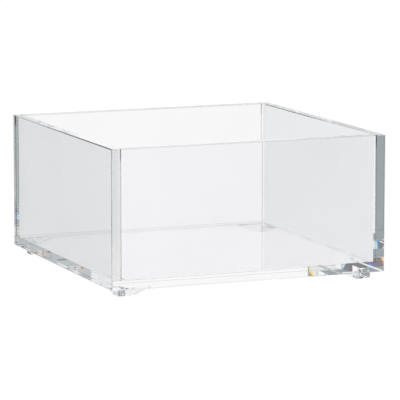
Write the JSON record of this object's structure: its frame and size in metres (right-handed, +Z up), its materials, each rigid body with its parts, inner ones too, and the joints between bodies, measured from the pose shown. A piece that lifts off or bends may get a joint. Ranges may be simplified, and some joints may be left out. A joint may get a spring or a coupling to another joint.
{
  "type": "open storage box",
  "caption": "Clear open-top square box of welded acrylic sheet, raised on low L-shaped corner feet with ramped ends that nest inside the rim of a like box below.",
  "frame": {"origin": "on the surface that the box stands on, under the middle of the box", "axes": "+Z up, +X to the right, the front wall faces -Y"},
  "size_m": [0.15, 0.15, 0.075],
  "materials": {
    "clear_sheet": "clear, polished",
    "clear_foot": "clear, polished"
  },
  "bodies": {
    "root": {"base_panel": "clear_sheet", "left_wall": "clear_sheet", "right_wall": "clear_sheet", "front_wall": "clear_sheet", "back_wall": "clear_sheet", "foot_front_left": "clear_foot", "foot_front_right": "clear_foot", "foot_back_left": "clear_foot", "foot_back_right": "clear_foot"}
  },
  "joints": []
}
